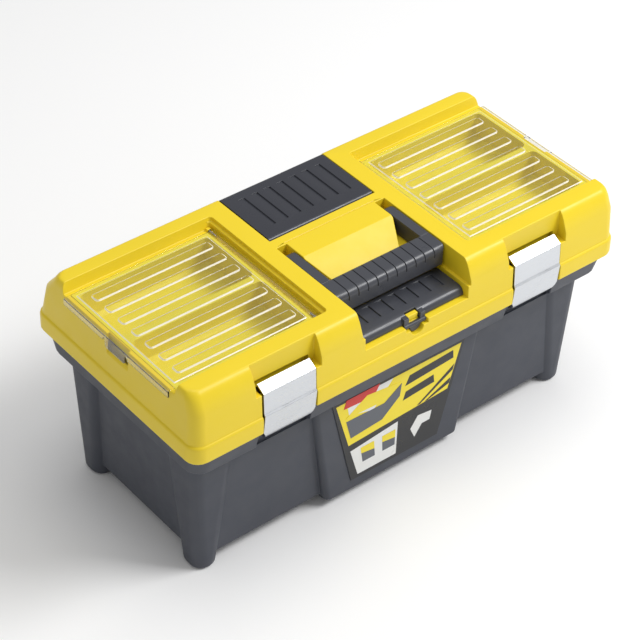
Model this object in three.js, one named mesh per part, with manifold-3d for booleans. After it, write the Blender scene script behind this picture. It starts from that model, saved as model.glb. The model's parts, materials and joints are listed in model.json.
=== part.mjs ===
// Toolbox with a lift-out tray: a tapered tub on four corner legs, a hinged lid with two clear
// organizer lids, two small covered compartments, a folding handle and two metal latches.
// Millimetres, +Z up, +X along the length, -Y is the front. The origin is on the floor,
// below the middle of the box.
import * as THREE from 'three';
import { mergeVertices } from 'three/addons/utils/BufferGeometryUtils.js';
import Module from 'manifold-3d';

const wasm = await Module();
wasm.setup();

// ---- driving dimensions ----
const LENGTH = 525;
const WIDTH = 256;
const HEIGHT = 247;
const GAP = 0.3;             // play between neighbouring pieces
const CORNER_STEPS = 5;      // facets in a rounded corner
const ROUND_STEPS = 20;      // facets round a pin or a bore
const ABOVE = 10;            // how far a cutting shape reaches past the top
const OUTSIDE = 5;           // and past a side

const HALF_LENGTH = LENGTH / 2;
const HALF_WIDTH = WIDTH / 2;

// Tub
const TUB_WALL = 3;
const TUB_FLOOR_Z = 12;
const TUB_BOTTOM = { x: 232, y: 95 };
const TUB_SHOULDER = { x: 240, y: 99 };
const SHOULDER_Z = 138;
const RIM_LIP = { x: 246, y: 103 };
const RIM_LOW = { x: 254, y: 117 };
const RIM_TOP = { x: 257, y: 122.5 };
const RIM_LIP_Z = 140;
const RIM_LOW_Z = 148;
const RIM_Z = 171.3;
const TUB_RADIUS = 16;
const FOOT_ROUND = 3;         // small rounding where a wall meets a floor
const LEG_FOOT = { x0: 210.5, x1: 238, y0: 66, y1: 98 };
const LEG_TOP = { x0: 194, x1: 245.5, y0: 54, y1: 102 };
const LEG_RADIUS = 13;
const LEG_LEVELS = [{ z: 0, shrink: 3 }, { z: 1.2, shrink: 1 }, { z: 4, shrink: 0 }];
const BULGE = { y: -104, back: -80, z: 7, halfFoot: 86, halfTop: 107, radius: 7 };

// Lid
const LID_WALL = 2.8;
const LID_Z = 172;
const FLANGE_Y = 127.7;
const FLANGE_TOP_Z = 189;
const DECK_Z = 236;          // floor of the recess that the organizer lids lie in
const DECK_THICK = 3.6;
const RECESS_X = 86;
const RECESS_FRONT_Y = -93.5;
const RECESS_BACK_Y = 80;
const RECESS_LEDGE = { x: 3.2, z: 242.5 };
const RECESS_LEAN = { front: 1.5, back: 4 };
const RECESS_CORNER = 4;
const POCKET_WALL = 2.6;

// Organizer bins and their clear lids
const BIN_X = { lo: 97, hi: 251 };
const BIN_Y = { lo: -86, hi: 72 };
const BIN_FLOOR_Z = 200;
const BIN_WALL = 2;
const BIN_FLANGE = 3;        // how far the bin's flange laps on the deck
const BIN_FLANGE_THICK = 1.2;
const BIN_SPLIT = { y: -8, half: 5, wall: 2 };    // hollow wall between front and back half
const BIN_ROUND = { inset: 4, rise: 5, radius: 6 };
const DIVIDER_THICK = 1.6;
const DIVIDER_FOOT = { rise: 6, inset: 5 };
const CLEAR_Z = 238;
const CLEAR_THICK = 1.6;
const CLEAR_X = { axis: 93, hi: 259.2 };
const CLEAR_Y = { lo: -88, hi: 75 };
const CLEAR_LIP = { x: 261.7, z: 229.5 };
const CLEAR_TAB = { lo: -22, hi: 9, z: 223 };
const CLEAR_AXIS_Z = 236.6;
const CLEAR_BARREL = 2.3;
const CLEAR_PIN = 1;
const CLEAR_PIN_LENGTH = 13;
const CLEAR_PIN_END = 3.7;    // how far a pin reaches past the clear lid
const CLEAR_EAR = { from: 0.7, to: 4.5, rise: 0.8 };

// Middle of the lid: back compartment, handle and front compartment
const BACK_COVER = { x: 64, front: 19.5, back: 101, axisY: 24, axisZ: 241.5 };
const BACK_SEAT_Z = 240;
const BACK_WELL = { x: 58, lo: 34, hi: 90, z: 205 };
const HINGE_GROOVE = 8.1;
const COVER_THICK = 3;
const COVER_BARREL = 2.8;
const COVER_PIN = 1.2;
const SLOT_X = { lo: 54.5, hi: 66.5 };
const SLOT_BACK_Y = 5.5;
const SLOT_FLOOR_Z = 227.4;
const GRIP_Y = { front: -86, back: -58 };
const GRIP_Z = { lo: 221.2, hi: 246 };
const GRIP_ROUND = { backTop: 5, frontTop: 7, frontLow: 5, backLow: 6 };
const ARM_X = { lo: 55.5, hi: 65.5 };
const ARM_RADIUS = 8.8;
const GRIP_CORNER = 4;        // rounding of the grip's ends, seen from above
const HANDLE_AXIS = { y: -11, z: 237 };
const HANDLE_PIN = 2;
const LEDGE_Z = 220.5;
const SLOPE = { back: -19.5, low: 225, wall: 4 };
const BLOCK_CHAMFER = { back: -22, width: 20 };
const SEAM = { y: 8, half: 0.3, depth: 0.5 };
const RECESS_HALF = 63.4;
const SILL_Z = 207;
const FRONT_COVER = { x: 63, front: -118, top: 216, low: 207.4, axisY: -79, axisZ: 212.4 };
const FRONT_SEAT_Z = 212;
const FRONT_WELL = { x: 57, lo: -110.5, hi: -85, z: 187 };
const GROOVES = { pitch: 11.7, width: 1.1, depth: 1, count: 10, reach: 10 };
const CHANNELS = { pitch: 15.6, width: 9, depth: 1.4, count: 7 };
const COVER_CHANNELS = { back: [37, 87], front: [-103, -84] };
const NOSE = { back: 4, front: 8, steps: 6 };    // rounding of the covers' front edges
const CLASP = {
  half: 13, window: 7, windowBack: -111.5, barLow: 203, barHigh: 207.4, barY: -122, play: 0.6,
};
const CLASP_POST = { half: 6.3, front: -117.2, back: -112.2, top: 213.8 };
const THUMB = { radius: 8, z: 203.4, wallY: -117.3 };
const TONGUE = { radius: 6.4, front: -121.4, back: -118.8 };

// Latches
const LATCH_X = 153;
const LATCH_WIDTH = 60;
const LATCH_THICK = 2;
const LATCH_RECESS = {
  half: 31.2, wide: 37.5, wideZ: 216, y: -112, scoopHalf: 31, scoop: 8, footY: -104, lo: 199.5, hi: 212.5,
};
const LATCH_AXIS = { y: -115, z: 217 };
const LATCH_PIN = 1.5;
const LATCH_BARREL = 2.7;
const LATCH_EAR = { lo: 18, hi: 23 };
const LATCH_TOP = { y: -114.8, z: 222.9 };
const LATCH_BEND = { y: -125, z: 217.3 };
const LATCH_RIDGE = { inY: -126.3, inZ: 194.2, outY: -128, outZ: 192.4 };
const LATCH_FOOT = { y: -112.2, z: 171, radius: 14 };
const LATCH_CORNER = 5;
const CARRIER = { half: 27, front: -122.5, back: -115.5, lo: 173, hi: 198, wall: 3 };
const BRACKET = { lo: 200, hi: 208, thick: 2 };
const CATCH_Y = -110.2;

// Main hinge
const HINGE_AXIS = { y: 122, z: 165 };
const HINGE_X = 150;
const HINGE_RADIUS = 6;
const HINGE_PIN = 2;
const HINGE_BORE = 2.4;
const HINGE_KNUCKLE = 9;     // half width of the lid's knuckle
const HINGE_SPAN = 22;
const HINGE_WALL_Y = 113;

// Tray
const TRAY = { x: 226, y: 86, z: 104, topX: 233, topY: 91.5, flangeX: 246, flangeY: 105.4 };
const TRAY_FLANGE_Z = 147;
const TRAY_WALL = 2;
const TRAY_CORNER = { foot: 8, low: 10, high: 12, flange: 14, cell: 6 };
const TRAY_CROSS = { x: 80, thick: 2 };    // the two cross walls
const TRAY_SPINE = 2;                      // half thickness of the lengthwise wall
const TRAY_GRIP = { half: 62, top: 178, hole: 44, holeLo: 151, holeHi: 167, thick: 14, shoulder: 8 };
const TRAY_DIVIDER = { x: 150, top: 143 };

const LABEL = { lo: 22, hi: 134, halfLo: 56, halfHi: 84, thick: 0.6 };

// ---- materials ----
const finish = (color, roughness, metalness = 0) =>
  new THREE.MeshStandardMaterial({ color, roughness, metalness });
const yellow = () => finish(0xe9c92c, 0.5);
const anthracite = () => finish(0x4b4d54, 0.55);
const black = () => finish(0x26272a, 0.6);
const clear = () => {
  const material = finish(0xf4efd8, 0.12);
  material.transparent = true;
  material.opacity = 0.35;
  return material;
};
const aluminium = () => finish(0xc6c9ce, 0.35, 1);
const steel = () => finish(0x9a9da3, 0.3, 1);
const grey = () => finish(0x5c5f66, 0.6);
const paper = () => finish(0xf2ead0, 0.4);

// ---- solids ----

// A closed geometry as a solid that can be joined and cut.
function solid(geometry) {
  geometry.deleteAttribute('normal');
  geometry.deleteAttribute('uv');
  const merged = mergeVertices(geometry, 1e-4);
  return new wasm.Manifold(new wasm.Mesh({
    numProp: 3,
    vertProperties: new Float32Array(merged.attributes.position.array),
    triVerts: new Uint32Array(merged.index.array),
  }));
}

// A box between two corners.
function box([x0, x1], [y0, y1], [z0, z1]) {
  const geometry = new THREE.BoxGeometry(x1 - x0, y1 - y0, z1 - z0);
  geometry.translate((x0 + x1) / 2, (y0 + y1) / 2, (z0 + z1) / 2);
  return solid(geometry);
}

// The same range on the right (side 1) or mirrored to the left (side -1).
const sided = (side, lo, hi) => (side > 0 ? [lo, hi] : [-hi, -lo]);

// A round bar along X or Y, between two stations, on an axis given by its other coordinates.
function bar(along, [from, to], across, z, radius, steps = ROUND_STEPS) {
  const geometry = new THREE.CylinderGeometry(radius, radius, to - from, steps);
  if (along === 'x') {
    geometry.rotateZ(Math.PI / 2);
    geometry.translate((from + to) / 2, across, z);
  } else {
    geometry.translate(across, (from + to) / 2, z);
  }
  return solid(geometry);
}

// A section in the YZ plane, drawn as a closed list of points, pulled along X.
function pulledAlongX(points, [x0, x1]) {
  const shape = new THREE.Shape(points.map(([y, z]) => new THREE.Vector2(y, z)));
  const geometry = new THREE.ExtrudeGeometry(shape, { depth: x1 - x0, bevelEnabled: false });
  geometry.applyMatrix4(new THREE.Matrix4().set(0, 0, 1, x0, 1, 0, 0, 0, 0, 1, 0, 0, 0, 0, 0, 1));
  return solid(geometry);
}

// A section in the XZ plane pulled along Y.
function pulledAlongY(points, [y0, y1]) {
  const shape = new THREE.Shape(points.map(([x, z]) => new THREE.Vector2(x, z)));
  const geometry = new THREE.ExtrudeGeometry(shape, { depth: y1 - y0, bevelEnabled: false });
  geometry.applyMatrix4(new THREE.Matrix4().set(1, 0, 0, 0, 0, 0, -1, y1, 0, 1, 0, 0, 0, 0, 0, 1));
  return solid(geometry);
}

// Points of one level of a rounded rectangle, counter-clockwise from above.
function ringPoints({ z, x: [x0, x1], y: [y0, y1], r }) {
  const centres = [[x1 - r, y1 - r], [x0 + r, y1 - r], [x0 + r, y0 + r], [x1 - r, y0 + r]];
  return centres.flatMap(([cx, cy], corner) =>
    Array.from({ length: CORNER_STEPS + 1 }, (_, step) => {
      const angle = (corner + step / CORNER_STEPS) * Math.PI / 2;
      return [cx + r * Math.cos(angle), cy + r * Math.sin(angle), z];
    }));
}

// A solid skinned over rounded rectangles, from the lowest level to the highest.
function loft(levels) {
  const rings = levels.map(ringPoints);
  const count = rings[0].length;
  const index = [];
  for (let level = 0; level + 1 < rings.length; level += 1) {
    for (let i = 0; i < count; i += 1) {
      const next = (i + 1) % count;
      const [a, b] = [level * count + i, level * count + next];
      index.push(a, b, b + count, a, b + count, a + count);
    }
  }
  const last = (rings.length - 1) * count;
  for (let i = 1; i + 1 < count; i += 1) {
    index.push(0, i + 1, i, last, last + i, last + i + 1);
  }
  const geometry = new THREE.BufferGeometry();
  geometry.setAttribute('position', new THREE.Float32BufferAttribute(rings.flat(2), 3));
  geometry.setIndex(index);
  return solid(geometry);
}

// A level that is the same on both sides of the middle.
const level = (z, x, y, r) => ({ z, x: [-x, x], y: Array.isArray(y) ? y : [-y, y], r });

const join = (...solids) => solids.reduce((all, one) => all.add(one));
const cut = (from, ...tools) => tools.reduce((rest, tool) => rest.subtract(tool), from);

const toolbox = new THREE.Group();

function addNode(name, shape, material) {
  const { vertProperties, triVerts } = shape.getMesh();
  const geometry = new THREE.BufferGeometry();
  geometry.setAttribute('position', new THREE.Float32BufferAttribute(vertProperties, 3));
  geometry.setIndex(Array.from(triVerts));
  geometry.computeVertexNormals();
  const mesh = new THREE.Mesh(geometry, material);
  mesh.name = name;
  toolbox.add(mesh);
}

const SIDES = [['left', -1], ['right', 1]];

// ---- tub ----

// The tub's outside (inset 0) or inside (inset of one wall).
function tubForm(inset, floor) {
  const at = (z, size) => level(z, size.x - inset, size.y - inset, TUB_RADIUS - inset);
  const soft = { x: TUB_BOTTOM.x - FOOT_ROUND, y: TUB_BOTTOM.y - FOOT_ROUND };
  return loft([
    at(floor, soft),
    at(floor + FOOT_ROUND, TUB_BOTTOM),
    at(SHOULDER_Z + inset, TUB_SHOULDER),
    at(RIM_LIP_Z + inset, RIM_LIP),
    at(RIM_LOW_Z + inset / 2, RIM_LOW),
    at(RIM_Z + inset, RIM_TOP),
  ]);
}

function leg(sideX, sideY) {
  const at = (z, b, shrink, r) => ({
    z,
    x: sided(sideX, b.x0 + shrink, b.x1 - shrink),
    y: sided(sideY, b.y0 + shrink, b.y1 - shrink),
    r,
  });
  return loft([
    ...LEG_LEVELS.map(({ z, shrink }) => at(z, LEG_FOOT, shrink, LEG_RADIUS - shrink)),
    at(SHOULDER_Z + 4, LEG_TOP, 0, LEG_RADIUS),
  ]);
}

// The panel that stands proud in the middle of the front, and its hollow back.
function frontBulge(inset) {
  const { y, back, z, halfFoot, halfTop, radius } = BULGE;
  const at = (height, half, front, r) => level(height, half - inset, [front + inset, back], r);
  return loft([
    at(z + inset, halfFoot - FOOT_ROUND, y + FOOT_ROUND, radius - FOOT_ROUND),
    at(z + FOOT_ROUND + inset, halfFoot, y, radius),
    at(SHOULDER_Z + 3, halfTop, y, radius),
  ]);
}

// A notch in the rim, closed at the back by a wall that stands further in.
function rimNotch(x, half, wallY, front) {
  const outside = front ? [-HALF_WIDTH - 5, wallY] : [wallY, HALF_WIDTH + 5];
  const wall = front ? [wallY, wallY + TUB_WALL] : [wallY - TUB_WALL, wallY];
  const low = RIM_LOW_Z - 2;
  return {
    backing: box([x - half - TUB_WALL, x + half + TUB_WALL],
      front ? [-RIM_LOW.y, wall[1]] : [wall[0], RIM_LOW.y], [RIM_LIP_Z - 1, RIM_Z]),
    opening: box([x - half, x + half], outside, [low, RIM_Z + 5]),
  };
}

function tubKnuckle(x) {
  const { y, z } = HINGE_AXIS;
  const barrel = bar('x', [x - HINGE_KNUCKLE / 2, x + HINGE_KNUCKLE / 2], y, z, HINGE_RADIUS);
  const web = box([x - HINGE_KNUCKLE / 2, x + HINGE_KNUCKLE / 2],
    [HINGE_WALL_Y - 1, y], [z - HINGE_RADIUS, z + HINGE_RADIUS - 1]);
  return join(barrel, web);
}

function tub() {
  const outside = tubForm(0, TUB_FLOOR_Z);
  let shell = outside.add(frontBulge(0));
  for (const [, sideX] of SIDES) {
    for (const [, sideY] of SIDES) shell = shell.add(leg(sideX, sideY));
  }
  shell = cut(shell, tubForm(TUB_WALL, TUB_FLOOR_Z + TUB_WALL));
  shell = cut(shell, frontBulge(TUB_WALL).intersect(
    box([-HALF_LENGTH, HALF_LENGTH], [-HALF_WIDTH, 0], [TUB_FLOOR_Z + TUB_WALL, SHOULDER_Z])));
  const half = LATCH_RECESS.half;
  for (const [, side] of SIDES) {
    const catchNotch = rimNotch(side * LATCH_X, half, CATCH_Y, true);
    const hingeNotch = rimNotch(side * HINGE_X, HINGE_SPAN, HINGE_WALL_Y, false);
    shell = shell.add(catchNotch.backing.intersect(outside));
    shell = shell.add(hingeNotch.backing.intersect(outside));
    shell = cut(shell, catchNotch.opening, hingeNotch.opening);
    const offset = HINGE_KNUCKLE + GAP + HINGE_KNUCKLE / 2;
    shell = shell.add(tubKnuckle(side * HINGE_X - offset)).add(tubKnuckle(side * HINGE_X + offset));
    shell = cut(shell, bar('x', [side * HINGE_X - HINGE_SPAN, side * HINGE_X + HINGE_SPAN],
      HINGE_AXIS.y, HINGE_AXIS.z, HINGE_BORE));
  }
  return shell;
}

// ---- lid shell ----

const LID_LEVELS = [
  { z: LID_Z, x: HALF_LENGTH - 0.8, y: [-FLANGE_Y + 0.7, FLANGE_Y - 0.7], r: 14 },
  { z: LID_Z + 2, x: HALF_LENGTH, y: [-FLANGE_Y, FLANGE_Y], r: 15 },
  { z: FLANGE_TOP_Z, x: HALF_LENGTH, y: [-FLANGE_Y, FLANGE_Y], r: 15 },
  { z: FLANGE_TOP_Z + 2.2, x: HALF_LENGTH - 1, y: [-FLANGE_Y + 1, FLANGE_Y - 1], r: 14 },
  { z: FLANGE_TOP_Z + 3, x: HALF_LENGTH - 2.2, y: [-FLANGE_Y + 2.2, FLANGE_Y - 2.5], r: 13 },
  { z: 225, x: 259.2, y: [-123.8, 117], r: 13 },
  { z: 238, x: 258.2, y: [-118.5, 105.5], r: 12 },
  { z: 243, x: 257, y: [-115.6, 102.2], r: 11 },
  { z: 246, x: 255, y: [-113, 100], r: 10 },
  { z: HEIGHT, x: 252.8, y: [-110.8, 98], r: 8 },
];

const lidOutside = () => loft(LID_LEVELS.map(({ z, x, y, r }) => level(z, x, y, r)));

function lidHollow() {
  const shrunk = LID_LEVELS.map(({ z, x, y, r }, i) => {
    const low = i === 0 ? z - 2 : z;
    const raised = i > 3 ? low - LID_WALL : low;
    return level(raised, x - LID_WALL, [y[0] + LID_WALL, y[1] - LID_WALL], r - LID_WALL);
  });
  return loft(shrunk.filter(({ z }, i) => i === 0 || i > 2 || z < FLANGE_TOP_Z)
    .filter(({ z }, i, all) => i === 0 || z > all[i - 1].z));
}

// A pocket sunk from above: the room itself, and the same room with its walls.
function pocket(x, y, z0, wall = POCKET_WALL) {
  return {
    room: box(x, y, [z0, HEIGHT + ABOVE]),
    walls: box([x[0] - wall, x[1] + wall], [y[0] - wall, y[1] + wall], [z0 - wall, HEIGHT + ABOVE]),
  };
}

// The slope in front of the handle's block, down to the finger space.
function fingerSlope(grow) {
  const bottom = SILL_Z - grow;
  const points = [
    [SLOPE.back + grow, HEIGHT + ABOVE],
    [SLOPE.back + grow, HEIGHT - grow],
    [GRIP_Y.back + grow, SLOPE.low - grow],
    [GRIP_Y.back - SLOPE.wall + grow, bottom],
    [FRONT_COVER.axisY - SLOPE.wall, bottom],
    [FRONT_COVER.axisY - SLOPE.wall, HEIGHT + ABOVE],
  ];
  return pulledAlongX(points, [-SLOT_X.lo - 1 - grow, SLOT_X.lo + 1 + grow]);
}

// Cuts that narrow the block between the arms towards the grip.
function blockChamfer(side, grow) {
  const { back, width } = BLOCK_CHAMFER;
  const front = GRIP_Y.back - SLOPE.wall;
  const shape = new THREE.Shape([[SLOT_X.lo + 1, back], [SLOT_X.lo + 1, front],
    [SLOT_X.lo - width - grow, front], [SLOT_X.lo - grow, back]]
    .map(([x, y]) => new THREE.Vector2(side * x, y)));
  const geometry = new THREE.ExtrudeGeometry(shape, { depth: 40, bevelEnabled: false });
  geometry.translate(0, 0, SLOT_FLOOR_Z - grow);
  return solid(geometry);
}

function middlePockets() {
  const { x, front, back, axisY, axisZ } = BACK_COVER;
  const seat = x + 1;
  const open = FRONT_COVER.front - 20;
  const wide = [-SLOT_X.hi, SLOT_X.hi];
  const narrow = [-RECESS_HALF, RECESS_HALF];
  const list = [
    pocket([-seat, seat], [front + 3, back + 10], BACK_SEAT_Z),
    pocket([-BACK_WELL.x, BACK_WELL.x], [BACK_WELL.lo, BACK_WELL.hi], BACK_WELL.z),
    pocket(wide, [open, GRIP_Y.back + 1], LEDGE_Z),
    pocket(narrow, [FRONT_COVER.axisY - SLOPE.wall, GRIP_Y.back - SLOPE.wall], SILL_Z),
    pocket(narrow, [open, FRONT_COVER.axisY - SLOPE.wall], FRONT_SEAT_Z),
    pocket(narrow, [open, FRONT_WELL.lo - POCKET_WALL], SILL_Z),
    pocket([-FRONT_WELL.x, FRONT_WELL.x], [FRONT_WELL.lo, FRONT_WELL.hi], FRONT_WELL.z),
    { room: fingerSlope(0), walls: fingerSlope(POCKET_WALL) },
    {
      room: bar('x', [-seat, seat], axisY, axisZ, HINGE_GROOVE, 32),
      walls: bar('x', [-seat - POCKET_WALL, seat + POCKET_WALL], axisY, axisZ,
        HINGE_GROOVE + POCKET_WALL, 32),
    },
  ];
  for (const [, side] of SIDES) {
    list.push(pocket(sided(side, SLOT_X.lo, SLOT_X.hi), [GRIP_Y.back - 2, SLOT_BACK_Y], SLOT_FLOOR_Z));
    list.push({ room: blockChamfer(side, 0), walls: blockChamfer(side, POCKET_WALL) });
  }
  return list;
}

function organizerPockets(side) {
  const end = HALF_LENGTH + 5;
  const deckLow = DECK_Z - DECK_THICK;
  const deck = box(sided(side, RECESS_X - LID_WALL, end),
    [RECESS_FRONT_Y - LID_WALL, RECESS_BACK_Y + LID_WALL], [deckLow, HEIGHT]);
  const opened = (z, x) => {
    const at = (height) => {
      const share = (height - DECK_Z) / (HEIGHT + 1 - DECK_Z);
      return {
        z: height,
        x: sided(side, x, end + ABOVE),
        y: [RECESS_FRONT_Y - RECESS_LEAN.front * share, RECESS_BACK_Y + RECESS_LEAN.back * share],
        r: RECESS_CORNER,
      };
    };
    return loft([at(z), at(HEIGHT + 1)]);
  };
  const recess = opened(DECK_Z, RECESS_X + RECESS_LEDGE.x).add(opened(RECESS_LEDGE.z, RECESS_X));
  const window = box(sided(side, BIN_X.lo, BIN_X.hi), [BIN_Y.lo, BIN_Y.hi], [deckLow - 1, HEIGHT]);
  const step = box(sided(side, BIN_X.lo - BIN_FLANGE, BIN_X.hi + BIN_FLANGE),
    [BIN_Y.lo - BIN_FLANGE, BIN_Y.hi + BIN_FLANGE],
    [DECK_Z - BIN_FLANGE_THICK - GAP, HEIGHT]);
  const axis = side * CLEAR_X.axis;
  const groove = bar('y', [CLEAR_Y.lo - GAP * 2, CLEAR_Y.hi + GAP * 2], axis, CLEAR_AXIS_Z,
    CLEAR_BARREL + 0.5);
  const ears = [[CLEAR_Y.lo - CLEAR_EAR.to, CLEAR_Y.lo - CLEAR_EAR.from],
    [CLEAR_Y.hi + CLEAR_EAR.from, CLEAR_Y.hi + CLEAR_EAR.to]]
    .map((y) => box([axis - CLEAR_BARREL, axis + CLEAR_BARREL], y,
      [DECK_Z - 1, CLEAR_Z + CLEAR_EAR.rise]));
  const pinHole = bar('y', [CLEAR_Y.lo - 4, CLEAR_Y.hi + 4], axis, CLEAR_AXIS_Z, CLEAR_PIN + GAP, 12);
  const tabNotch = pulledAlongY([
    [side * (HALF_LENGTH + 2), 206],
    [side * (HALF_LENGTH + 2), DECK_Z + 1],
    [side * (CLEAR_X.hi - 3.5), DECK_Z + 1],
    [side * (CLEAR_X.hi - 3.5), CLEAR_TAB.z - 3],
  ], [CLEAR_TAB.lo - 1, CLEAR_TAB.hi + 1]);
  return { deck, recess, window, step, groove, ears: join(...ears), pinHole, tabNotch };
}

// The flat-backed recess for a latch, and the walls behind it.
function latchRecess(side) {
  const { half, wide, wideZ, y, scoopHalf, scoop, footY, lo, hi } = LATCH_RECESS;
  const x = side * LATCH_X;
  const outer = -HALF_WIDTH - OUTSIDE;
  const shape = (grow, low, top) => join(
    box([x - half - grow, x + half + grow], [outer, y + grow], [low, wideZ + 1]),
    box([x - wide - grow, x + wide + grow], [outer, y + grow], [wideZ - grow, top]),
    bar('x', [x - scoopHalf - grow, x + scoopHalf + grow], LATCH_AXIS.y, LATCH_AXIS.z, scoop + grow, 36),
    box([x - scoopHalf - grow, x + scoopHalf + grow], [outer, footY + grow], [lo - grow, hi]),
  );
  return { walls: shape(LID_WALL, LID_Z, HEIGHT), room: shape(0, LID_Z - OUTSIDE, HEIGHT + OUTSIDE) };
}

function lidKnuckle(side) {
  const { y, z } = HINGE_AXIS;
  const range = [side * HINGE_X - HINGE_KNUCKLE, side * HINGE_X + HINGE_KNUCKLE];
  const web = box(range, [y - 1, y + HINGE_RADIUS - 1], [z, FLANGE_TOP_Z]);
  return join(bar('x', range, y, z, HINGE_RADIUS), web);
}

// The half-round thumb recess below the front cover's clasp, with room for its finger bar.
function thumbRecess(grow) {
  const half = CLASP.half + CLASP.play + grow;
  const back = THUMB.wallY + grow;
  return join(
    bar('y', [-HALF_WIDTH - 5, back], 0, THUMB.z, THUMB.radius + grow, 32),
    box([-half, half], [-HALF_WIDTH - 5, back], [CLASP.barLow - CLASP.play - grow, SILL_Z + 1]),
  );
}

function lidShell() {
  const outside = lidOutside();
  let shell = outside.subtract(lidHollow());
  const rooms = [];
  for (const { room, walls } of middlePockets()) {
    shell = shell.add(walls.intersect(outside));
    rooms.push(room);
  }
  for (const [, side] of SIDES) {
    const { deck, recess, window, step, groove, ears, pinHole, tabNotch } = organizerPockets(side);
    const latch = latchRecess(side);
    shell = shell.add(deck.intersect(outside)).add(latch.walls.intersect(outside));
    shell = cut(shell, recess, latch.room).add(ears);
    shell = cut(shell, window, step, groove, pinHole, tabNotch);
    shell = shell.add(lidKnuckle(side));
    shell = cut(shell, bar('x', [side * HINGE_X - HINGE_SPAN, side * HINGE_X + HINGE_SPAN],
      HINGE_AXIS.y, HINGE_AXIS.z, HINGE_BORE));
  }
  shell = shell.add(thumbRecess(POCKET_WALL).intersect(outside));
  const seam = box([-SLOT_X.lo - 1, SLOT_X.lo + 1], [SEAM.y - SEAM.half, SEAM.y + SEAM.half],
    [HEIGHT - SEAM.depth, HEIGHT + 1]);
  shell = cut(shell, ...rooms, thumbRecess(0), seam);
  shell = shell.add(box([-CLASP_POST.half, CLASP_POST.half], [CLASP_POST.front, CLASP_POST.back],
    [SILL_Z - 1, CLASP_POST.top]));
  const handleBore = HANDLE_PIN + GAP;
  const coverBore = COVER_PIN + GAP;
  const reach = SLOT_X.hi + POCKET_WALL + 1;
  for (const [, side] of SIDES) {
    shell = cut(shell,
      bar('x', sided(side, SLOT_X.lo - POCKET_WALL - 1, reach), HANDLE_AXIS.y, HANDLE_AXIS.z, handleBore),
      bar('x', sided(side, SLOT_X.lo, reach), BACK_COVER.axisY, BACK_COVER.axisZ, coverBore, 12),
      bar('x', sided(side, SLOT_X.lo, reach), FRONT_COVER.axisY, FRONT_COVER.axisZ, coverBore, 12));
  }
  return shell;
}

// ---- organizer bins, dividers, clear lids ----

function organizerBin(side) {
  const out = GAP;
  const flange = BIN_FLANGE - GAP;
  const body = box(sided(side, BIN_X.lo + out, BIN_X.hi - out),
    [BIN_Y.lo + out, BIN_Y.hi - out], [BIN_FLOOR_Z, DECK_Z]);
  const lip = box(sided(side, BIN_X.lo - flange, BIN_X.hi + flange),
    [BIN_Y.lo - flange, BIN_Y.hi + flange], [DECK_Z - BIN_FLANGE_THICK, DECK_Z]);
  const hinge = box(sided(side, BIN_X.lo - BIN_FLANGE - 1, CLEAR_X.axis + CLEAR_BARREL + 0.8),
    [BIN_Y.lo - 5, BIN_Y.hi + 5], [DECK_Z - 2, DECK_Z + 1]);
  const inner = out + BIN_WALL;
  const { y: splitY, half, wall } = BIN_SPLIT;
  const hollow = box(sided(side, BIN_X.lo + inner + BIN_ROUND.inset, BIN_X.hi - inner - BIN_ROUND.inset),
    [splitY - half + wall, splitY + half - wall], [BIN_FLOOR_Z - 1, DECK_Z - wall]);
  const rooms = [[BIN_Y.lo + inner, splitY - half], [splitY + half, BIN_Y.hi - inner]].map(([y0, y1]) => {
    const at = (z, inset) => ({
      z,
      x: sided(side, BIN_X.lo + inner + inset, BIN_X.hi - inner - inset),
      y: [y0 + inset, y1 - inset],
      r: BIN_ROUND.radius,
    });
    const floor = BIN_FLOOR_Z + BIN_WALL;
    return loft([at(floor, BIN_ROUND.inset), at(floor + BIN_ROUND.rise, 0), at(DECK_Z + 1, 0)]);
  });
  return cut(join(body, lip), hinge, hollow, ...rooms);
}

function clearLid(side) {
  const low = CLEAR_Z - CLEAR_THICK;
  const { lo, hi } = CLEAR_Y;
  const plate = box(sided(side, CLEAR_X.axis, CLEAR_LIP.x), [lo, hi], [low, CLEAR_Z]);
  const barrel = bar('y', [lo, hi], side * CLEAR_X.axis, CLEAR_AXIS_Z, CLEAR_BARREL);
  const lip = box(sided(side, CLEAR_X.hi, CLEAR_LIP.x), [lo, hi - 1], [CLEAR_LIP.z, CLEAR_Z]);
  const tab = box(sided(side, CLEAR_X.hi, CLEAR_LIP.x), [CLEAR_TAB.lo, CLEAR_TAB.hi],
    [CLEAR_TAB.z, CLEAR_Z]);
  const under = box(sided(side, CLEAR_X.axis, CLEAR_X.axis + CLEAR_BARREL + 0.5),
    [lo - 1, hi + 1], [DECK_Z - 5, CLEAR_AXIS_Z - CLEAR_BARREL - 1]);
  const bores = [[lo - 1, lo + CLEAR_PIN_LENGTH - 3.5], [hi - CLEAR_PIN_LENGTH + 3.5, hi + 1]]
    .map((y) => bar('y', y, side * CLEAR_X.axis, CLEAR_AXIS_Z, CLEAR_PIN + GAP, 12));
  return cut(join(plate, barrel, lip, tab), under, ...bores);
}

function clearLidPin(side, end) {
  const y = end === 'front'
    ? [CLEAR_Y.lo - CLEAR_PIN_END, CLEAR_Y.lo - CLEAR_PIN_END + CLEAR_PIN_LENGTH]
    : [CLEAR_Y.hi + CLEAR_PIN_END - CLEAR_PIN_LENGTH, CLEAR_Y.hi + CLEAR_PIN_END];
  return bar('y', y, side * CLEAR_X.axis, CLEAR_AXIS_Z, CLEAR_PIN, 12);
}

// ---- compartment covers ----

// The seven channels pressed into a cover, each deepest along its right-hand edge.
function channels(y, top) {
  return Array.from({ length: CHANNELS.count }, (_, i) => {
    const x = (i - (CHANNELS.count - 1) / 2) * CHANNELS.pitch;
    const right = x + CHANNELS.width / 2;
    return pulledAlongY([[x - CHANNELS.width / 2, top], [right, top - CHANNELS.depth],
      [right, top + 5], [x - CHANNELS.width / 2, top + 5]], y);
  });
}

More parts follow.
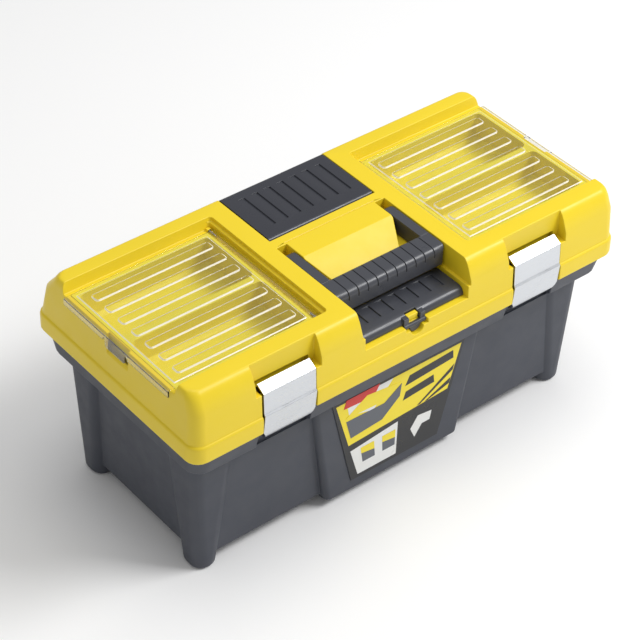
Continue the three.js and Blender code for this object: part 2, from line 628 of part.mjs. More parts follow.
// The rounded front edge of a cover, from the top down.
function nose(front, top, radius) {
  return Array.from({ length: NOSE.steps + 1 }, (_, i) => {
    const angle = (i / NOSE.steps) * Math.PI / 2;
    return [front + radius * (1 - Math.sin(angle)), top - radius * (1 - Math.cos(angle))];
  });
}

function backCover() {
  const { x, front, back, axisY, axisZ } = BACK_COVER;
  const top = HEIGHT;
  const low = top - COVER_THICK;
  const section = [
    [front, low - 3], ...nose(front, top, NOSE.back).reverse(),
    [97, top], [99.6, top - 1.4], [back, top - 4], [back + 0.4, BACK_SEAT_Z + GAP],
    [back - 3, BACK_SEAT_Z + GAP], [96, low], [28, low], [axisY, low - 3],
  ];
  const plate = pulledAlongX(section, [-x, x]);
  const barrel = bar('x', [-x, x], axisY, axisZ, COVER_BARREL);
  const clasp = box([-CLASP.half, CLASP.half], [back - 1.6, back + 5], [BACK_SEAT_Z - 5, top + 5]);
  const bore = bar('x', [-x - 1, x + 1], axisY, axisZ, COVER_PIN + GAP, 12);
  return cut(join(plate, barrel), bore, clasp, ...channels(COVER_CHANNELS.back, top));
}

function frontCover() {
  const { x, front, top, low, axisY, axisZ } = FRONT_COVER;
  const under = top - COVER_THICK;
  const section = [
    [axisY, axisZ], [axisY, top - 0.8], [axisY - 2, top], ...nose(front, top, NOSE.front),
    [front, low], [front + 2.6, low], [front + 2.6, under - 1.6], [front + 4.2, under],
    [axisY - 3.5, under], [axisY - 2, axisZ - 1],
  ];
  const plate = pulledAlongX(section, [-x, x]);
  const barrel = bar('x', [-x, x], axisY, axisZ, COVER_BARREL);
  const notch = box([-CLASP.half, CLASP.half], [front - 2, front + 1.2], [low - 2, top + 5]);
  const frame = box([-CLASP.half, CLASP.half], [front - 2.2, front + 4], [CLASP.barLow, top - 1.6]);
  const lip = pulledAlongX([[CLASP.barY, CLASP.barLow + 1.4], [CLASP.barY + 1.2, CLASP.barLow],
    [front - 0.6, CLASP.barLow], [front - 0.6, CLASP.barHigh], [CLASP.barY + 1.2, CLASP.barHigh],
    [CLASP.barY, CLASP.barHigh - 1.4]], [-CLASP.half, CLASP.half]);
  const tongue = bar('y', [TONGUE.front, TONGUE.back], 0, THUMB.z, TONGUE.radius, 28)
    .subtract(box([-CLASP.half, CLASP.half], [front - 20, front + 20], [CLASP.barLow + 2, HEIGHT]));
  const window = box([-CLASP.window, CLASP.window], [front - 5, CLASP.windowBack],
    [CLASP.barHigh, top + 1]);
  const behind = box([-CLASP.half - 1, CLASP.half + 1], [front - 0.5, front + 7], [0, low]);
  const bore = bar('x', [-x - 1, x + 1], axisY, axisZ, COVER_PIN + GAP, 12);
  const body = cut(join(plate, barrel), notch);
  return cut(join(body, frame, lip, tongue), window, behind, bore, ...channels(COVER_CHANNELS.front, top));
}

function coverPin({ axisY, axisZ }, half) {
  return bar('x', [-half, half], axisY, axisZ, COVER_PIN, 12);
}

// ---- handle ----

// The grip's cross-section, drawn in by shrink at the bottom of its grooves.
function gripSection(shrink) {
  const { front, back } = GRIP_Y;
  const { lo, hi } = GRIP_Z;
  const { backTop, frontTop, frontLow, backLow } = GRIP_ROUND;
  const arc = (cy, cz, r, from, steps) => Array.from({ length: steps + 1 }, (_, i) => {
    const angle = THREE.MathUtils.degToRad(from + 90 * i / steps);
    return [cy + (r - shrink) * Math.cos(angle), cz + (r - shrink) * Math.sin(angle)];
  });
  return [
    ...arc(back - backTop, hi - backTop, backTop, 0, 3),
    ...arc(front + frontTop, hi - frontTop, frontTop, 90, 5),
    ...arc(front + frontLow, lo + frontLow, frontLow, 180, 3),
    ...arc(back - backLow, lo + backLow, backLow, 270, 3),
  ];
}

function handle() {
  const { front, back } = GRIP_Y;
  const { y, z } = HANDLE_AXIS;
  const wide = [-ARM_X.hi, ARM_X.hi];
  let body = pulledAlongX(gripSection(0), wide);
  for (let i = 0; i < GROOVES.count; i += 1) {
    const x = (i - (GROOVES.count - 1) / 2) * GROOVES.pitch;
    const slab = box([x - GROOVES.width / 2, x + GROOVES.width / 2],
      [front - OUTSIDE, back + OUTSIDE], [GRIP_Z.hi - GROOVES.reach, GRIP_Z.hi + OUTSIDE]);
    body = body.subtract(slab.subtract(pulledAlongX(gripSection(GROOVES.depth), wide)));
  }
  for (const [, side] of SIDES) {
    const range = sided(side, ARM_X.lo, ARM_X.hi);
    const arm = box(range, [back - 3, y], [z - ARM_RADIUS, z + ARM_RADIUS]);
    const eye = bar('x', range, y, z, ARM_RADIUS);
    const bore = bar('x', [range[0] - 1, range[1] + 1], y, z, HANDLE_PIN + GAP);
    body = body.add(arm).add(eye).subtract(bore);
  }
  const plan = (height) => level(height, ARM_X.hi, [front, y + ABOVE], GRIP_CORNER);
  return body.intersect(loft([plan(GRIP_Z.lo - 1), plan(GRIP_Z.hi + 1)]));
}

function handlePin(side) {
  return bar('x', sided(side, SLOT_X.lo - POCKET_WALL, SLOT_X.hi + POCKET_WALL),
    HANDLE_AXIS.y, HANDLE_AXIS.z, HANDLE_PIN);
}

// ---- latches ----

// The bent plate: leaning top, upright middle with a low ridge, and a foot rolled inwards.
function latchPlate(side) {
  const foot = (r) => Array.from({ length: 7 }, (_, i) => {
    const angle = Math.PI + (i / 6) * Math.PI / 2;
    return [LATCH_FOOT.y + r * Math.cos(angle), LATCH_FOOT.z + r * Math.sin(angle)];
  });
  const { inY, inZ, outY, outZ } = LATCH_RIDGE;
  const outline = [
    [LATCH_TOP.y, LATCH_TOP.z], [LATCH_BEND.y, LATCH_BEND.z], [inY, inZ], [outY, outZ],
    ...foot(LATCH_FOOT.radius),
    ...foot(LATCH_FOOT.radius - LATCH_THICK).reverse(),
    [outY + LATCH_THICK, outZ - 0.8], [inY + LATCH_THICK, inZ - 0.8],
    [LATCH_BEND.y + LATCH_THICK, LATCH_BEND.z - 1.2], [LATCH_TOP.y + 1, LATCH_TOP.z - 1.7],
  ];
  const x = side * LATCH_X;
  const half = LATCH_WIDTH / 2;
  const between = [x - LATCH_EAR.lo + GAP, x + LATCH_EAR.lo - GAP];
  const { y, z } = LATCH_AXIS;
  const web = pulledAlongX([[y - 2, z + 0.5], [y + 0.2, z + 4.6], [y - 4, z + 3.2], [y - 3.1, z - 1]],
    between);
  const bore = bar('x', [x - half, x + half], y, z, LATCH_PIN + GAP, 12);
  const corners = [-1, 1].map((s) => pulledAlongY([[x + s * (half + 1), LATCH_FOOT.z],
    [x + s * (half + 1), 0], [x + s * (half - LATCH_CORNER), 0],
    [x + s * (half - LATCH_CORNER), LATCH_FOOT.z - LATCH_CORNER * 2], [x + s * half, LATCH_FOOT.z]],
  [-HALF_WIDTH - OUTSIDE, 0]));
  return cut(join(pulledAlongX(outline, [x - half, x + half]), web,
    bar('x', between, y, z, LATCH_BARREL)), bore, ...corners);
}

function latchCarrier(side) {
  const x = side * LATCH_X;
  const { half, front, back, lo, hi, wall } = CARRIER;
  const block = box([x - half, x + half], [front, back], [lo, hi]);
  const hollow = box([x - half + wall, x + half - wall], [front + 2, back + OUTSIDE],
    [lo + wall, hi - wall]);
  return cut(block, hollow);
}

function latchBracket(side) {
  const x = side * LATCH_X;
  const wall = LATCH_RECESS.footY - GAP;
  const { lo, hi, thick } = BRACKET;
  const { y, z } = LATCH_AXIS;
  const base = box([x - LATCH_EAR.hi, x + LATCH_EAR.hi], [wall - thick, wall], [lo, hi]);
  const ears = [-1, 1].map((s) => {
    const range = sided(s, LATCH_EAR.lo, LATCH_EAR.hi).map((value) => value + x);
    const web = pulledAlongX([[wall - 1, lo], [wall - 1, hi], [y + 2.6, z - 1.8],
      [y - 3.1, z - 0.8], [y - 2.6, z - 6]], range);
    return join(web, bar('x', range, y, z, LATCH_BARREL));
  });
  return cut(join(base, ...ears), bar('x', [x - 30, x + 30], y, z, LATCH_PIN + GAP, 12));
}

function latchPin(side) {
  const x = side * LATCH_X;
  return bar('x', [x - LATCH_EAR.hi - 1, x + LATCH_EAR.hi + 1], LATCH_AXIS.y, LATCH_AXIS.z, LATCH_PIN, 12);
}

// ---- tray ----

// One of the tray's six cells: its x and y span, leaning outwards with the outer walls.
function trayCell([x0, x1], back) {
  const t = TRAY_WALL;
  const span = TRAY.topX - TRAY.x;
  const lean = (x) => (Math.abs(x) > TRAY_CROSS.x ? x + Math.sign(x) * span : x);
  const y = (outer) => (back ? [TRAY_SPINE, outer - t] : [-outer + t, -TRAY_SPINE]);
  const foot = y(TRAY.y);
  return loft([
    {
      z: TRAY.z + t,
      x: [x0 + FOOT_ROUND, x1 - FOOT_ROUND],
      y: [foot[0] + FOOT_ROUND, foot[1] - FOOT_ROUND],
      r: TRAY_CORNER.cell - 1,
    },
    { z: TRAY.z + t + FOOT_ROUND, x: [x0, x1], y: foot, r: TRAY_CORNER.cell },
    { z: TRAY_FLANGE_Z + t + 1, x: [lean(x0), lean(x1)], y: y(TRAY.topY), r: TRAY_CORNER.cell },
  ]);
}

function tray() {
  const top = TRAY_FLANGE_Z;
  const t = TRAY_WALL;
  const { half, hole, holeLo, holeHi, thick, shoulder } = TRAY_GRIP;
  const outer = loft([
    level(TRAY.z, TRAY.x - FOOT_ROUND, TRAY.y - FOOT_ROUND, TRAY_CORNER.foot),
    level(TRAY.z + FOOT_ROUND, TRAY.x, TRAY.y, TRAY_CORNER.low),
    level(top, TRAY.topX, TRAY.topY, TRAY_CORNER.high),
    level(top + t, TRAY.topX, TRAY.topY, TRAY_CORNER.high),
  ]);
  const flange = loft([
    level(top, TRAY.flangeX, TRAY.flangeY, TRAY_CORNER.flange),
    level(top + t, TRAY.flangeX, TRAY.flangeY, TRAY_CORNER.flange),
  ]);
  const plate = box([-half, half], [-TRAY_SPINE, TRAY_SPINE], [top - 10, TRAY_GRIP.top]);
  const gripBar = box([-half + shoulder, half - shoulder], [-thick / 2, thick / 2],
    [holeHi, TRAY_GRIP.top]);
  const opening = box([-hole, hole], [-10, 10], [holeLo, holeHi]);
  const near = TRAY_CROSS.x - TRAY_CROSS.thick;
  const columns = [[-TRAY.x + t, -TRAY_CROSS.x], [-near, near], [TRAY_CROSS.x, TRAY.x - t]];
  const cells = columns.flatMap((x) => [trayCell(x, false), trayCell(x, true)]);
  return cut(join(cut(join(outer, flange), ...cells), plate, gripBar), opening);
}

function trayDivider(side) {
  const { x, top } = TRAY_DIVIDER;
  const { rise, inset } = DIVIDER_FOOT;
  const low = TRAY.z + TRAY_WALL + GAP;
  const front = TRAY_SPINE + GAP + 0.5;
  const back = TRAY.y - FOOT_ROUND;
  const points = [[front, top], [front, low + rise], [front + inset, low], [back - inset, low],
    [back, low + rise], [TRAY.topY - FOOT_ROUND, top]];
  return pulledAlongX(points, sided(side, x, x + DIVIDER_THICK));
}

// ---- label ----

function label() {
  const y = BULGE.y - GAP;
  const shape = [[-LABEL.halfHi, LABEL.hi], [-LABEL.halfLo, LABEL.lo],
    [LABEL.halfLo, LABEL.lo], [LABEL.halfHi, LABEL.hi]];
  return pulledAlongY(shape, [y - LABEL.thick, y]);
}

// ---- assembly ----

addNode('body_tub', tub(), anthracite());
addNode('lid_shell', lidShell(), yellow());
addNode('tray', tray(), black());
addNode('back_cover', backCover(), anthracite());
addNode('back_cover_pin', coverPin(BACK_COVER, BACK_COVER.x + 3), steel());
addNode('front_cover', frontCover(), anthracite());
addNode('front_cover_pin', coverPin(FRONT_COVER, FRONT_COVER.x + 2), steel());
addNode('handle', handle(), anthracite());
addNode('label', label(), paper());
for (const [name, side] of SIDES) {
  const hingeEnds = [side * HINGE_X - HINGE_SPAN + 2, side * HINGE_X + HINGE_SPAN - 2];
  addNode(`hinge_pin_${name}`, bar('x', hingeEnds, HINGE_AXIS.y, HINGE_AXIS.z, HINGE_PIN), steel());
  addNode(`organizer_bin_${name}`, organizerBin(side), yellow());
  addNode(`organizer_lid_${name}`, clearLid(side), clear());
  for (const end of ['front', 'back']) {
    addNode(`organizer_pin_${name}_${end}`, clearLidPin(side, end), steel());
  }
  addNode(`handle_pin_${name}`, handlePin(side), steel());
  addNode(`latch_plate_${name}`, latchPlate(side), aluminium());
  addNode(`latch_carrier_${name}`, latchCarrier(side), black());
  addNode(`latch_bracket_${name}`, latchBracket(side), black());
  addNode(`latch_pin_${name}`, latchPin(side), steel());
  addNode(`tray_divider_${name}`, trayDivider(side), grey());
}

export default toolbox;
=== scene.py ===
"""Looks of the toolbox with tray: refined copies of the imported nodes, and their materials."""
import json
import math

import bmesh
import bpy
from mathutils import Matrix, Vector

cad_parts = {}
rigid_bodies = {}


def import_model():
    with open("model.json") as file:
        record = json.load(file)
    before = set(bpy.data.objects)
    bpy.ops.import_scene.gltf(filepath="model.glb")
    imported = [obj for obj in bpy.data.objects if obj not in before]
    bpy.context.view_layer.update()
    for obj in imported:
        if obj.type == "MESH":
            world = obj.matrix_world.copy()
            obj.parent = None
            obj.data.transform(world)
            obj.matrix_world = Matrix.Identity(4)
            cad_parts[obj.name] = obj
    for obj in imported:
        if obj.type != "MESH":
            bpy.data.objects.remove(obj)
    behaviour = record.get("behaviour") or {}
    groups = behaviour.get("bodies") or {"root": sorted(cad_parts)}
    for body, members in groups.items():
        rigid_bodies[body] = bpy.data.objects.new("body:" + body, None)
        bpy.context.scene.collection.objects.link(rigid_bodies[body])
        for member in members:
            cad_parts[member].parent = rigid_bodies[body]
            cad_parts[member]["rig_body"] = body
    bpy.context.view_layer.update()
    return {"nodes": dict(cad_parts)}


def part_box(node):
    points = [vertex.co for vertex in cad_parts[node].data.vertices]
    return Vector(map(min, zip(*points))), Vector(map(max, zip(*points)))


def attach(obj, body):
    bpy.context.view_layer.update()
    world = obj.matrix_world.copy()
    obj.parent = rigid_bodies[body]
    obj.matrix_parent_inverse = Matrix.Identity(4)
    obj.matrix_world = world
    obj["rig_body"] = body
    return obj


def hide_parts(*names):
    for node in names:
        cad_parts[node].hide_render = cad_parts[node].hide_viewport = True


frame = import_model()
SIDES = (("left", -1), ("right", 1))

scene = bpy.context.scene
scene.view_settings.view_transform = "Standard"
scene.view_settings.look = "None"


# ---- camera, floor and light ----

AZIMUTH, ELEVATION, ROLL = (math.radians(v) for v in (-40.34, 39.76, 2.08))
CAMERA_PLACE = (-1.13469, -1.31929, 1.57642)
LENS, SENSOR = 128.62, 36.0


def make_camera():
    back = Vector((math.sin(AZIMUTH) * math.cos(ELEVATION),
                   -math.cos(AZIMUTH) * math.cos(ELEVATION), math.sin(ELEVATION)))
    right = (-back).cross(Vector((0, 0, 1))).normalized()
    up = right.cross(-back)
    right, up = (right * math.cos(ROLL) + up * math.sin(ROLL),
                 up * math.cos(ROLL) - right * math.sin(ROLL))
    data = bpy.data.cameras.new("camera")
    data.lens, data.sensor_width = LENS, SENSOR
    camera = bpy.data.objects.new("camera", data)
    scene.collection.objects.link(camera)
    placed = Matrix((right, up, back)).transposed().to_4x4()
    placed.translation = Vector(CAMERA_PLACE)
    camera.matrix_world = placed
    scene.camera = camera


SKY_STRENGTH = 0.44
AIM = (0.0, 0.0, 0.15)
LIGHTS = {                     # place, size, watts
    "key": ((1.42, -1.25, 2.25), (1.3, 0.8), 52.0),
    "top": ((0.1, 0.2, 2.6), (1.5, 1.5), 16.0),
}
FLOOR = {"reach": 6.0, "level": -0.0004, "shade": 0.96, "roughness": 0.9}


def area_light(name, place, size, energy):
    data = bpy.data.lights.new(name, "AREA")
    data.shape = "RECTANGLE"
    data.size, data.size_y = size
    data.energy = energy
    light = bpy.data.objects.new(name, data)
    light.location = place
    light.rotation_euler = (Vector(AIM) - Vector(place)).to_track_quat("-Z", "Y").to_euler()
    scene.collection.objects.link(light)


def make_light():
    world = bpy.data.worlds.new("studio")
    world.use_nodes = True
    sky = world.node_tree.nodes["Background"]
    sky.inputs["Color"].default_value = (1.0, 1.0, 1.0, 1.0)
    sky.inputs["Strength"].default_value = SKY_STRENGTH
    scene.world = world
    for name, values in LIGHTS.items():
        area_light(name, *values)


def make_floor():
    mesh = bpy.data.meshes.new("floor")
    reach = FLOOR["reach"]
    corners = [(-reach, -reach, 0), (reach, -reach, 0), (reach, reach, 0), (-reach, reach, 0)]
    mesh.from_pydata(corners, [], [(0, 1, 2, 3)])
    floor = bpy.data.objects.new("floor", mesh)
    floor.location.z = FLOOR["level"]
    scene.collection.objects.link(floor)
    material = bpy.data.materials.new("floor")
    material.use_nodes = True
    shader = material.node_tree.nodes["Principled BSDF"]
    shader.inputs["Base Color"].default_value = (*[FLOOR["shade"]] * 3, 1.0)
    shader.inputs["Roughness"].default_value = FLOOR["roughness"]
    mesh.materials.append(material)


# ---- materials ----

CLOUD_SCALE, STREAK_SCALE, GRAIN_SCALE, SPARK_SCALE = 9.0, 55.0, 420.0, 1500.0   # noise, per metre
GRAIN_DEPTH = 0.00012
# Convex edges are painted paler than the plastic: a painted highlight along the edges.
PAINTED_EDGE_HIGHLIGHT = (0.52, 0.62)       # pointiness from which an edge pales, and where it is palest
SPECULAR = 0.45
GLOSS_SWING = 0.06
METAL_CLOUDS, METAL_SWING, METAL_DEPTH = 26.0, 0.07, 0.00005
SHEET_CLOUDS, SHEET_HAZE, SHEET_WAVES = 14.0, 70.0, 60.0
SHEET_DEPTH, SHEET_INDEX = 0.0004, 1.5
LAMP_TINT = (0.93, 0.92, 0.88, 1.0)   # what a lamp's light keeps on its way through a clear sheet


class Nodes:
    """A material's node tree, with short ways to add what these finishes need."""

    def __init__(self, name):
        self.material = bpy.data.materials.new(name)
        self.material.use_nodes = True
        self.tree = self.material.node_tree
        self.shader = self.tree.nodes["Principled BSDF"]
        self.place = self.add("ShaderNodeTexCoord").outputs["Object"]

    def add(self, kind, **values):
        node = self.tree.nodes.new(kind)
        for key, value in values.items():
            setattr(node, key, value)
        return node

    def link(self, source, target):
        self.tree.links.new(source, target)

    def stretched(self, scale):
        node = self.add("ShaderNodeMapping")
        node.inputs["Scale"].default_value = scale
        self.link(self.place, node.inputs["Vector"])
        return node.outputs["Vector"]

    def noise(self, scale, detail=3.0, place=None):
        node = self.add("ShaderNodeTexNoise")
        node.inputs["Scale"].default_value = scale
        node.inputs["Detail"].default_value = detail
        self.link(place or self.place, node.inputs["Vector"])
        return node.outputs["Fac"]

    def span(self, value, low, high, start=0.3, end=0.7):
        """value, from start to end, mapped onto low to high."""
        node = self.add("ShaderNodeMapRange")
        for key, number in (("From Min", start), ("From Max", end), ("To Min", low), ("To Max", high)):
            node.inputs[key].default_value = number
        self.link(value, node.inputs["Value"])
        return node.outputs["Result"]

    def mixed(self, factor, first, second):
        """A mix of two colours: the Mix node's colour sockets are inputs 6 and 7, and output 2."""
        node = self.add("ShaderNodeMix", data_type="RGBA")
        self.link(factor, node.inputs["Factor"])
        for socket, value in ((node.inputs[6], first), (node.inputs[7], second)):
            if isinstance(value, bpy.types.NodeSocket):
                self.link(value, socket)
            else:
                socket.default_value = (*value, 1.0)
        return node.outputs[2]

    def sum(self, first, second, share):
        """first + share * second"""
        node = self.add("ShaderNodeMath", operation="MULTIPLY_ADD")
        self.link(second, node.inputs[0])
        node.inputs[1].default_value = share
        self.link(first, node.inputs[2])
        return node.outputs[0]

    def bump(self, height, strength, distance):
        node = self.add("ShaderNodeBump")
        node.inputs["Strength"].default_value = strength
        node.inputs["Distance"].default_value = distance
        self.link(height, node.inputs["Height"])
        self.link(node.outputs["Normal"], self.shader.inputs["Normal"])

    def set(self, **values):
        for key, value in values.items():
            self.shader.inputs[key.replace("_", " ")].default_value = value


def moulded(name, colour, roughness, grain, shift, edge_highlight):
    """Moulded plastic: fine spark-eroded grain, faint flow clouds, and convex edges painted paler as a
    painted highlight.
    """
    n = Nodes(name)
    clouds = n.noise(CLOUD_SCALE)
    sparks = n.noise(SPARK_SCALE, 2.0)
    darker = tuple(c * (1 - shift) for c in colour)
    lighter = tuple(min(1.0, c * (1 + shift)) for c in colour)
    body = n.mixed(n.span(clouds, 0.0, 1.0), darker, lighter)
    # Painted highlight: the plastic turns paler where its edges are sharp and convex.
    pointiness = n.add("ShaderNodeNewGeometry").outputs["Pointiness"]
    edges = n.span(pointiness, 0.0, edge_highlight, *PAINTED_EDGE_HIGHLIGHT)
    highlight_colour = tuple(min(1.0, c * 1.25 + 0.04) for c in colour)
    n.link(n.mixed(edges, body, highlight_colour), n.shader.inputs["Base Color"])
    gloss = n.sum(n.noise(STREAK_SCALE, 4.0), sparks, 0.35)
    n.link(n.span(gloss, roughness - GLOSS_SWING, roughness + GLOSS_SWING, 0.45, 0.9),
           n.shader.inputs["Roughness"])
    n.bump(n.sum(n.noise(GRAIN_SCALE, 2.0), sparks, 0.8), grain, GRAIN_DEPTH)
    n.set(Specular_IOR_Level=SPECULAR)
    return n.material


def rolled_metal(name, colour, roughness, along):
    """Rolled or drawn metal: long fine lines along one axis over slow clouds."""
    n = Nodes(name)
    lines = n.noise(1.0, 4.0, n.stretched(along))
    both = n.sum(n.noise(METAL_CLOUDS), lines, 0.8)
    n.link(n.mixed(n.span(both, 0.0, 1.0, 0.6, 1.2), tuple(c * 0.90 for c in colour), colour),
           n.shader.inputs["Base Color"])
    n.link(n.span(both, roughness - METAL_SWING, roughness + METAL_SWING, 0.6, 1.2),
           n.shader.inputs["Roughness"])
    n.bump(lines, 0.06, METAL_DEPTH)
    n.set(Metallic=1.0)
    return n.material


def let_lamps_through(n):
    """Lets the light of lamps and of the surroundings reach what is under a clear sheet."""
    path = n.add("ShaderNodeLightPath")
    lamps = n.add("ShaderNodeMath", operation="MAXIMUM")
    n.link(path.outputs["Is Shadow Ray"], lamps.inputs[0])
    n.link(path.outputs["Is Diffuse Ray"], lamps.inputs[1])
    open_way = n.add("ShaderNodeBsdfTransparent")
    open_way.inputs["Color"].default_value = LAMP_TINT
    both = n.add("ShaderNodeMixShader")
    n.link(lamps.outputs[0], both.inputs[0])
    n.link(n.shader.outputs[0], both.inputs[1])
    n.link(open_way.outputs[0], both.inputs[2])
    n.link(both.outputs[0], n.tree.nodes["Material Output"].inputs["Surface"])


def clear_sheet(name, colour, roughness, transmission):
    """Clear moulded sheet, with slow waves in its surface and faint haze."""
    n = Nodes(name)
    clouds = n.span(n.noise(SHEET_CLOUDS, 2.0), 0.0, 1.0)
    n.link(n.mixed(clouds, tuple(c * 0.97 for c in colour), colour), n.shader.inputs["Base Color"])
    n.link(n.span(n.noise(SHEET_HAZE), roughness, roughness + 0.05), n.shader.inputs["Roughness"])
    n.bump(n.noise(SHEET_WAVES, 2.0), 0.06, SHEET_DEPTH)
    n.set(Transmission_Weight=transmission, IOR=SHEET_INDEX)
    let_lamps_through(n)
    return n.material


def printed(name, colour):
    """Printed film: dense ink with a faint fleck, and a slightly uneven gloss."""
    n = Nodes(name)
    fleck = n.span(n.noise(2400.0, 2.0), 0.0, 1.0)
    n.link(n.mixed(fleck, tuple(c * 0.94 for c in colour), colour), n.shader.inputs["Base Color"])
    n.link(n.span(n.noise(40.0), 0.26, 0.36), n.shader.inputs["Roughness"])
    n.bump(n.noise(90.0, 2.0), 0.05, 0.0003)
    return n.material


# name, colour, roughness, grain, colour shift, strength of the painted highlight on the edges
YELLOW = moulded("yellow_plastic", (0.83, 0.62, 0.018), 0.40, 0.09, 0.02, 0.10)
DARK_TUB = moulded("tub_plastic", (0.053, 0.058, 0.074), 0.50, 0.16, 0.06, 0.18)
DARK_SATIN = moulded("dark_plastic", (0.034, 0.036, 0.046), 0.31, 0.10, 0.06, 0.20)
# A lighter copy of the dark plastic, for the front cover and the handle: painted light on these fronts.
DARK_SATIN_PAINTED_LIGHTER = moulded("dark_plastic_painted_lighter", (0.052, 0.055, 0.066), 0.33, 0.10, 0.06, 0.20)
TRAY_GREY = moulded("tray_plastic", (0.070, 0.074, 0.088), 0.46, 0.14, 0.06, 0.15)
LATCH_GREY = moulded("latch_plastic", (0.030, 0.032, 0.038), 0.48, 0.12, 0.06, 0.15)
BIN_YELLOW = moulded("bin_plastic", (0.80, 0.69, 0.035), 0.40, 0.08, 0.02, 0.08)

ALUMINIUM = rolled_metal("rolled_aluminium", (0.66, 0.68, 0.71), 0.30, (30.0, 2600.0, 2600.0))
STEEL = rolled_metal("drawn_steel", (0.52, 0.51, 0.50), 0.32, (40.0, 1800.0, 1800.0))

CLEAR = clear_sheet("clear_plastic", (0.99, 0.985, 0.95), 0.03, 1.0)
# A cream, less clear sheet for the faces along the moulded edges: a painted highlight on the ribs and the
# panel step.
CLEAR_PAINTED_HIGHLIGHT = clear_sheet("clear_plastic_painted_highlight", (1.0, 0.97, 0.84), 0.22, 0.35)


# ---- refined copies of CAD nodes ----

WELD = 2e-6
FLAT = math.radians(0.6)       # faces that meet at less lie in one plane
SHARP, LID_SHARP = math.radians(32), math.radians(28)   # edges sharper than this are rounded
SPARSE = 0.25                  # a flat that fills less of its box runs round an opening
NORMAL_WEIGHT = 50


def new_piece(name, node, mesh, materials):
    """A piece in the scene that moves with the node's body."""
    piece = bpy.data.objects.new(name, mesh)
    scene.collection.objects.link(piece)
    for material in materials:
        mesh.materials.append(material)
    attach(piece, frame["nodes"][node]["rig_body"])
    return piece


def keep_inside(piece, low, high):
    """Applies a piece's rounding, and draws back what passes its node's box."""
    ready = piece.evaluated_get(bpy.context.evaluated_depsgraph_get())
    mesh = bpy.data.meshes.new_from_object(ready)
    for vertex in mesh.vertices:
        vertex.co = [min(top, max(least, v)) for v, least, top in zip(vertex.co, low, high)]
    piece.modifiers.clear()
    piece.data = mesh


def shaded(piece):
    """Shades a piece by its larger faces."""
    normals = piece.modifiers.new("shading", "WEIGHTED_NORMAL")
    normals.keep_sharp, normals.weight = True, NORMAL_WEIGHT


def rounded(piece, width, segments, sharp, box):
    """Rounds a piece's sharp edges and shades it by the larger faces."""
    for face in piece.data.polygons:
        face.use_smooth = True
    bevel = piece.modifiers.new("edges", "BEVEL")
    bevel.width, bevel.segments = width, segments
    bevel.limit_method, bevel.angle_limit = "ANGLE", sharp
    bevel.use_clamp_overlap = False
    bevel.miter_outer = "MITER_ARC"
    keep_inside(piece, *box)
    shaded(piece)


def flat_regions(bm):
    """The mesh's faces in groups that lie in one plane and share edges."""
    seen = set()
    for start in bm.faces:
        if start in seen:
            continue
        seen.add(start)
        group, todo = [start], [start]
        while todo:
            for edge in todo.pop().edges:
                if edge.calc_face_angle(math.pi) > FLAT:
                    continue
                for face in edge.link_faces:
                    if face not in seen and face.normal.angle(start.normal, math.pi) < 2 * FLAT:
                        seen.add(face)
                        group.append(face)
                        todo.append(face)
        yield group


def spread(verts):
    """The area of the box round these points, over its two longer sides."""
    sizes = sorted(max(v.co[i] for v in verts) - min(v.co[i] for v in verts) for i in range(3))
    return sizes[1] * sizes[2]


def merge_flats(bm):
    """Joins the triangles of each flat face. One with holes in it, or one that runs round an
    opening, only gets better triangles. Edges and points are kept in their order, so that each
    run gives the same mesh."""
    inside, holed, holed_faces = [], [], []
    for group in flat_regions(bm):
        members = set(group)
        edges = dict.fromkeys(e for f in group for e in f.edges)
        verts = dict.fromkeys(v for f in group for v in f.verts)
        within = [e for e in edges if all(f in members for f in e.link_faces)]
        filled = sum(f.calc_area() for f in group) > SPARSE * spread(verts)
        if filled and len(verts) - len(edges) + len(group) == 1:
            inside += within
        else:
            holed += within
            holed_faces += group
    bmesh.ops.beautify_fill(bm, faces=holed_faces, edges=holed)
    bmesh.ops.dissolve_edges(bm, edges=inside, use_verts=False)
    straight = [v for v in bm.verts if len(v.link_edges) == 2 and v.calc_edge_angle(0) < FLAT]
    bmesh.ops.dissolve_verts(bm, verts=straight)


def skin(node, material, width, segments, sharp=SHARP):
    """A node's own surface with rounded edges: fine facets merged, then bevelled."""
    mesh = frame["nodes"][node].data.copy()
    mesh.name = node + "_skin"
    bm = bmesh.new()
    bm.from_mesh(mesh)
    bmesh.ops.remove_doubles(bm, verts=bm.verts, dist=WELD)
    bmesh.ops.dissolve_degenerate(bm, dist=WELD, edges=bm.edges)
    merge_flats(bm)
    bm.to_mesh(mesh)
    bm.free()
    for attribute in ("custom_normal", "sharp_edge", "sharp_face"):
        if attribute in mesh.attributes:
            mesh.attributes.remove(mesh.attributes[attribute])
    mesh.materials.clear()
    piece = new_piece(node + "_skin", node, mesh, [material])
    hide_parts(node)
    rounded(piece, width, segments, sharp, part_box(node))


# ---- clear organizer lids ----

MM = 0.001
CLEAR_TOP, CLEAR_THICK = 237.4, 1.5
HINGE_REACH = 4.6              # from the edge of the hinge barrel to the edge of the sheet
PANEL = {"inset": 5.5, "rise": 0.7, "outer": 250.5}
RIB = {"count": 7, "pitch": 21.0, "half": 5.25, "rise": 0.9, "corner": 3.0,
       "inset": 10.5, "end": 240.5, "foot": 3.0}
RAMP = (-0.5, -0.25, 0.0, 0.25, 0.5)    # across a moulded edge
RIM_ROUND, RIM_DROP = (0.0, 0.15, 0.45), 0.35
BEND = 2.2
LIP_Z, LIP_ROWS = 229.5, (0.15, 0.4, 0.7, 0.9, 0.97, 1.0)
TAB = {"y": (-22.0, 9.0), "corner": 3.0, "notch": 3.0, "slope": 0.6, "least": 0.45}
TAB_ROWS = (-3.7, -3.3, -3.0, -0.05, 0.02, 0.3, 0.8, 1.5, 2.3, 3.0)
NEAREST_ROWS = 0.04
